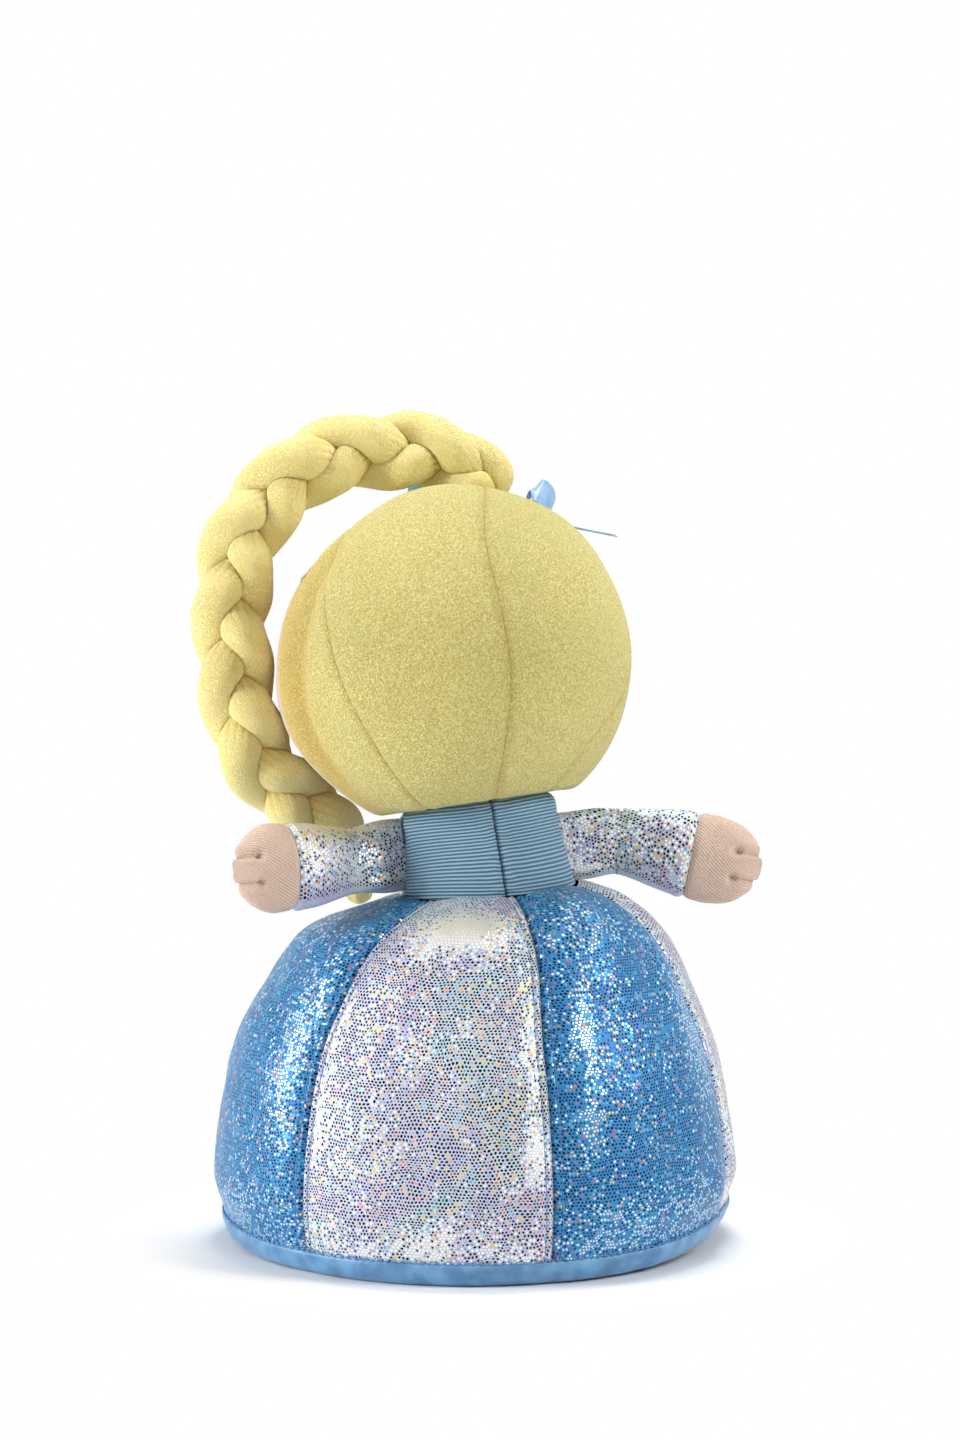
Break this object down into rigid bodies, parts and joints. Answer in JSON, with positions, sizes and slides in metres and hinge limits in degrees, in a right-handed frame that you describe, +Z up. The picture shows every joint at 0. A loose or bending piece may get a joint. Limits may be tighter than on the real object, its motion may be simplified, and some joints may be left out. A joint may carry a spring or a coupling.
{
  "type": "plush doll",
  "caption": "Stuffed fabric doll with a padded bell skirt, ribbed bodice, stuffed arms, a round head with sewn hair, a ribbon bow and a long plait.",
  "frame": {"origin": "centre of the skirt's base, on the surface that the doll stands on", "axes": "+Z up, -Y the way the doll's face looks, +X the doll's left"},
  "size_m": [0.1925, 0.1772, 0.286],
  "materials": {
    "silver_foil": "stretch cloth with a foil of small dots, glossy",
    "blue_foil": "stretch cloth with a foil of small dots, glossy",
    "satin": "satin ribbon, smooth sheen",
    "rib_knit": "ribbed knit, matte",
    "hair_velour": "short-pile velour, soft sheen",
    "peach_knit": "fine knit, matte",
    "fibre_fill": "loose polyester fibre",
    "lining_cloth": "plain woven lining, matte",
    "eye_thread": "embroidery, satin stitch",
    "mouth_thread": "embroidery, satin stitch"
  },
  "bodies": {
    "skirt_and_torso": {"skirt_panel_silver_1": "silver_foil", "skirt_panel_silver_2": "silver_foil", "skirt_panel_silver_3": "silver_foil", "skirt_panel_blue_1": "blue_foil", "skirt_panel_blue_2": "blue_foil", "skirt_panel_blue_3": "blue_foil", "skirt_padding": "fibre_fill", "skirt_lining": "lining_cloth", "hem_binding": "satin", "bodice_back_left": "rib_knit", "bodice_back_right": "rib_knit", "bodice_front": "rib_knit", "torso_stuffing": "fibre_fill"},
    "neck": {"neck_stuffing": "fibre_fill"},
    "head": {"head_stuffing": "fibre_fill", "hair_side_left": "hair_velour", "hair_back_left": "hair_velour", "hair_back_right": "hair_velour", "hair_side_right": "hair_velour", "fringe_right": "hair_velour", "fringe_left": "hair_velour", "face_panel": "peach_knit", "left_eye": "eye_thread", "right_eye": "eye_thread", "mouth": "mouth_thread", "bow_loops": "satin", "bow_tails": "satin", "bow_knot": "satin"},
    "braid": {"braid_strand_1": "hair_velour", "braid_strand_2": "hair_velour", "braid_strand_3": "hair_velour", "braid_tie": "satin", "braid_tail": "hair_velour"},
    "left_tab": {"left_arm_tab": "silver_foil"},
    "left_arm": {"left_sleeve": "silver_foil", "left_hand": "peach_knit", "left_arm_stuffing": "fibre_fill"},
    "right_tab": {"right_arm_tab": "silver_foil"},
    "right_arm": {"right_sleeve": "silver_foil", "right_hand": "peach_knit", "right_arm_stuffing": "fibre_fill"}
  },
  "joints": [
    {"name": "neck_turn", "type": "hinge", "parent": "skirt_and_torso", "child": "neck", "pos_m": [-0.003, 0.006, 0.1245], "axis": [0.0992, -0.1861, 0.9775], "range_deg": [-15, 15], "stiffness_Nm_per_rad": 0.6},
    {"name": "head_nod", "type": "hinge", "parent": "neck", "child": "head", "pos_m": [0.005, -0.009, 0.2033], "axis": [1, 0, 0], "range_deg": [-10, 3], "stiffness_Nm_per_rad": 0.6},
    {"name": "braid_swing", "type": "hinge", "parent": "head", "child": "braid", "pos_m": [-0.02562, -0.0338, 0.25026], "axis": [0, -1, 0], "range_deg": [0, 25]},
    {"name": "left_arm_sweep", "type": "hinge", "parent": "skirt_and_torso", "child": "left_tab", "pos_m": [0.03033, 0.00332, 0.13697], "axis": [0.0992, -0.1861, 0.9775], "range_deg": [-20, 25], "stiffness_Nm_per_rad": 0.08},
    {"name": "left_arm_raise", "type": "hinge", "parent": "left_tab", "child": "left_arm", "pos_m": [0.04469, 0.00724, 0.13626], "axis": [0.2485, -0.9466, -0.2054], "range_deg": [-15, 30], "stiffness_Nm_per_rad": 0.08},
    {"name": "right_arm_sweep", "type": "hinge", "parent": "skirt_and_torso", "child": "right_tab", "pos_m": [-0.03429, 0.00379, 0.13772], "axis": [-0.0992, 0.1861, -0.9775], "range_deg": [-20, 25], "stiffness_Nm_per_rad": 0.08},
    {"name": "right_arm_raise", "type": "hinge", "parent": "right_tab", "child": "right_arm", "pos_m": [-0.04858, 0.00744, 0.13987], "axis": [0.2665, 0.9514, 0.154], "range_deg": [-15, 30], "stiffness_Nm_per_rad": 0.08}
  ]
}
